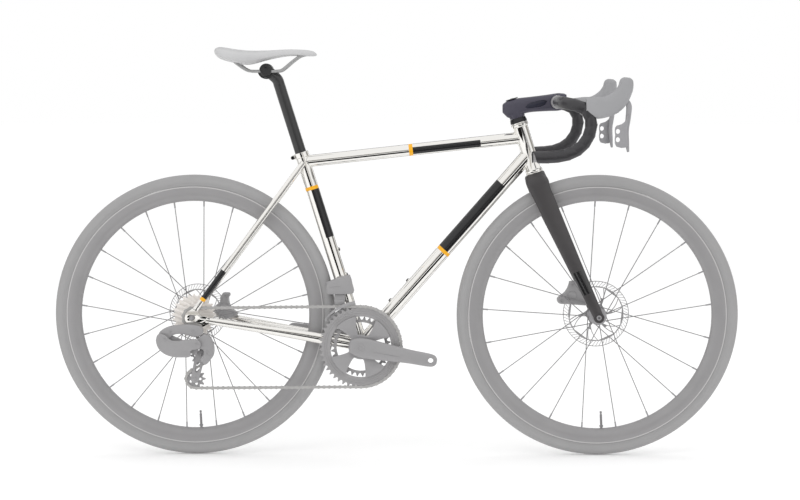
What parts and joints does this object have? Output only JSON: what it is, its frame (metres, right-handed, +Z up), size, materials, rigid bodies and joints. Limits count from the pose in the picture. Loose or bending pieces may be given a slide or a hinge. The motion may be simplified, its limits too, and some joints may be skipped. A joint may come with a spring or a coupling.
{
  "type": "road bicycle",
  "caption": "Road bicycle with round steel tubes, carbon fork, drop handlebar, disc brakes, electronic derailleurs and spoked wheels.",
  "frame": {"origin": "on the floor under the middle of the bicycle, midway between the axles", "axes": "+X forward, +Y to the rider's left, +Z up"},
  "size_m": [1.648, 0.461, 0.9811],
  "materials": {
    "polished_steel": "mirror polished",
    "black_carbon": "satin black carbon",
    "stem_black": "satin blue-black",
    "bar_tape": "matt perforated tape",
    "tyre_grey": null,
    "rim_grey": null,
    "component_grey": null,
    "hood_grey": null,
    "grey_metal": null,
    "cassette_pale": null,
    "chain_grey": null,
    "saddle_grey": null,
    "bearing_black": "satin black"
  },
  "bodies": {
    "frame": {"head_tube": "polished_steel", "top_tube": "polished_steel", "down_tube": "polished_steel", "seat_tube": "polished_steel", "bottom_bracket_shell": "polished_steel", "chainstay_left": "polished_steel", "chainstay_right": "polished_steel", "seatstay_left": "polished_steel", "seatstay_right": "polished_steel", "headset_lower_bearing": "bearing_black", "headset_upper_bearing": "bearing_black", "rear_thru_axle": "grey_metal", "chain": "chain_grey", "front_derailleur_body": "component_grey", "rear_caliper": "component_grey"},
    "fork": {"fork": "black_carbon", "headset_cover": "bearing_black", "stem": "stem_black", "stem_faceplate": "stem_black", "handlebar": "component_grey", "bar_tape_left": "bar_tape", "bar_tape_right": "bar_tape", "hood_left": "hood_grey", "hood_right": "hood_grey", "front_caliper": "component_grey", "front_thru_axle": "grey_metal"},
    "front_wheel": {"front_tyre": "tyre_grey", "front_rim": "rim_grey", "front_hub": "grey_metal", "front_rotor": "grey_metal"},
    "rear_wheel": {"rear_tyre": "tyre_grey", "rear_rim": "rim_grey", "rear_hub": "grey_metal", "rear_rotor": "grey_metal"},
    "cassette": {"cassette": "cassette_pale"},
    "crankset": {"crank_right": "component_grey", "crank_left": "component_grey", "big_chainring": "grey_metal", "small_chainring": "grey_metal"},
    "seatpost": {"seatpost": "black_carbon"},
    "saddle_clamp": {"saddle_clamp": "grey_metal"},
    "saddle": {"saddle": "saddle_grey", "saddle_rails": "grey_metal"},
    "brake_lever_left": {"brake_lever_left": "component_grey"},
    "brake_lever_right": {"brake_lever_right": "component_grey"},
    "shift_paddle_left": {"shift_paddle_left": "component_grey"},
    "shift_paddle_right": {"shift_paddle_right": "component_grey"},
    "front_pad_left": {"front_pad_left": "grey_metal"},
    "front_pad_right": {"front_pad_right": "grey_metal"},
    "rear_pad_left": {"rear_pad_left": "grey_metal"},
    "rear_pad_right": {"rear_pad_right": "grey_metal"},
    "rd_b_knuckle": {"rd_b_knuckle": "component_grey"},
    "rd_outer_link": {"rd_outer_link": "component_grey"},
    "rd_inner_link": {"rd_inner_link": "component_grey"},
    "rd_p_knuckle": {"rd_p_knuckle": "component_grey"},
    "rd_cage": {"rd_cage": "component_grey"},
    "guide_pulley": {"guide_pulley": "component_grey"},
    "tension_pulley": {"tension_pulley": "component_grey"},
    "front_derailleur_link": {"front_derailleur_link": "component_grey"},
    "front_derailleur_cage": {"front_derailleur_cage": "grey_metal"}
  },
  "joints": [
    {"name": "steering", "type": "hinge", "parent": "frame", "child": "fork", "pos_m": [0.33296, 0, 0.68122], "axis": [-0.2984, 0, 0.9544], "range_deg": [-60, 60]},
    {"name": "front_wheel_spin", "type": "hinge", "parent": "fork", "child": "front_wheel", "pos_m": [0.485, 0, 0.339], "axis": [0, 1, 0], "continuous": true},
    {"name": "rear_wheel_spin", "type": "hinge", "parent": "frame", "child": "rear_wheel", "pos_m": [-0.485, 0, 0.339], "axis": [0, 1, 0], "continuous": true},
    {"name": "crank_spin", "type": "hinge", "parent": "frame", "child": "crankset", "pos_m": [-0.0834, 0, 0.267], "axis": [0, 1, 0], "continuous": true, "deforming": ["chain"]},
    {"name": "cassette_spin", "type": "hinge", "parent": "frame", "child": "cassette", "pos_m": [-0.485, 0, 0.339], "axis": [0, 1, 0], "continuous": true},
    {"name": "seatpost_height", "type": "slide", "parent": "frame", "child": "seatpost", "axis": [-0.299, 0, 0.9542], "range_m": [-0.1, 0.06]},
    {"name": "saddle_tilt", "type": "hinge", "parent": "seatpost", "child": "saddle_clamp", "pos_m": [-0.30979, 0, 0.92714], "axis": [0, 1, 0], "range_deg": [-10, 10]},
    {"name": "saddle_fore_aft", "type": "slide", "parent": "saddle_clamp", "child": "saddle", "axis": [1, 0, 0], "range_m": [-0.012, 0.01]},
    {"name": "brake_lever_left_pull", "type": "hinge", "parent": "fork", "child": "brake_lever_left", "pos_m": [0.52833, 0.212, 0.8618], "axis": [0, 1, 0], "range_deg": [0, 16], "stiffness_Nm_per_rad": 1.2, "springref_deg": -8.59},
    {"name": "shift_paddle_left_push", "type": "hinge", "parent": "brake_lever_left", "child": "shift_paddle_left", "pos_m": [0.52533, 0.2186, 0.7858], "axis": [0, 0, 1], "range_deg": [0, 8], "stiffness_Nm_per_rad": 0.3, "springref_deg": -5.73},
    {"name": "brake_lever_right_pull", "type": "hinge", "parent": "fork", "child": "brake_lever_right", "pos_m": [0.52833, -0.212, 0.8618], "axis": [0, 1, 0], "range_deg": [0, 16], "stiffness_Nm_per_rad": 1.2, "springref_deg": -8.59},
    {"name": "shift_paddle_right_push", "type": "hinge", "parent": "brake_lever_right", "child": "shift_paddle_right", "pos_m": [0.52533, -0.2186, 0.7858], "axis": [0, 0, -1], "range_deg": [0, 8], "stiffness_Nm_per_rad": 0.3, "springref_deg": -5.73},
    {"name": "front_pad_left_close", "type": "slide", "parent": "fork", "child": "front_pad_left", "axis": [0, -1, 0], "range_m": [0, 0.0004]},
    {"name": "front_pad_right_close", "type": "slide", "parent": "fork", "child": "front_pad_right", "axis": [0, 1, 0], "range_m": [0, 0.0004]},
    {"name": "rear_pad_left_close", "type": "slide", "parent": "frame", "child": "rear_pad_left", "axis": [0, -1, 0], "range_m": [0, 0.0004]},
    {"name": "rear_pad_right_close", "type": "slide", "parent": "frame", "child": "rear_pad_right", "axis": [0, 1, 0], "range_m": [0, 0.0004]},
    {"name": "rd_b_pivot", "type": "hinge", "parent": "frame", "child": "rd_b_knuckle", "pos_m": [-0.479, 0, 0.31], "axis": [0, 1, 0], "range_deg": [-4, 10], "stiffness_Nm_per_rad": 6, "springref_deg": -8.59},
    {"name": "rd_shift", "type": "hinge", "parent": "rd_b_knuckle", "child": "rd_outer_link", "pos_m": [-0.545, -0.095, 0.292], "axis": [0.3924, 0, 0.9198], "range_deg": [0, 24]},
    {"name": "rd_inner_link_turn", "type": "hinge", "parent": "rd_b_knuckle", "child": "rd_inner_link", "pos_m": [-0.545, -0.083, 0.292], "axis": [0.3924, 0, 0.9198], "range_deg": [0, 24]},
    {"name": "rd_p_knuckle_turn", "type": "hinge", "parent": "rd_outer_link", "child": "rd_p_knuckle", "pos_m": [-0.47, -0.095, 0.26], "axis": [0.3924, 0, 0.9198], "range_deg": [-24, 0]},
    {"name": "rd_cage_swing", "type": "hinge", "parent": "rd_p_knuckle", "child": "rd_cage", "pos_m": [-0.452, -0.0635, 0.25], "axis": [0, 1, 0], "range_deg": [-12, 20], "stiffness_Nm_per_rad": 1.5, "springref_deg": -14.32},
    {"name": "guide_pulley_spin", "type": "hinge", "parent": "rd_cage", "child": "guide_pulley", "pos_m": [-0.466, -0.0635, 0.249], "axis": [0, 1, 0], "continuous": true},
    {"name": "tension_pulley_spin", "type": "hinge", "parent": "rd_cage", "child": "tension_pulley", "pos_m": [-0.47947, -0.0635, 0.19156], "axis": [0, 1, 0], "continuous": true},
    {"name": "fd_shift", "type": "hinge", "parent": "frame", "child": "front_derailleur_link", "pos_m": [-0.1341, -0.0365, 0.391], "axis": [1, 0, 0], "range_deg": [0, 25]},
    {"name": "fd_cage_turn", "type": "hinge", "parent": "front_derailleur_link", "child": "front_derailleur_cage", "pos_m": [-0.1341, -0.0395, 0.375], "axis": [1, 0, 0], "range_deg": [-25, 0]}
  ],
  "couplings": [
    {"joint": "cassette_spin", "follows": "crank_spin", "ratio": 4.3636},
    {"joint": "guide_pulley_spin", "follows": "crank_spin", "ratio": -4.3636},
    {"joint": "tension_pulley_spin", "follows": "crank_spin", "ratio": 4.3636},
    {"joint": "rd_inner_link_turn", "follows": "rd_shift", "ratio": 1},
    {"joint": "rd_p_knuckle_turn", "follows": "rd_shift", "ratio": -1},
    {"joint": "fd_cage_turn", "follows": "fd_shift", "ratio": -1},
    {"joint": "front_pad_left_close", "follows": "brake_lever_left_pull", "m_per_rad": 0.0014324},
    {"joint": "front_pad_right_close", "follows": "brake_lever_left_pull", "m_per_rad": 0.0014324},
    {"joint": "rear_pad_left_close", "follows": "brake_lever_right_pull", "m_per_rad": 0.0014324},
    {"joint": "rear_pad_right_close", "follows": "brake_lever_right_pull", "m_per_rad": 0.0014324}
  ]
}
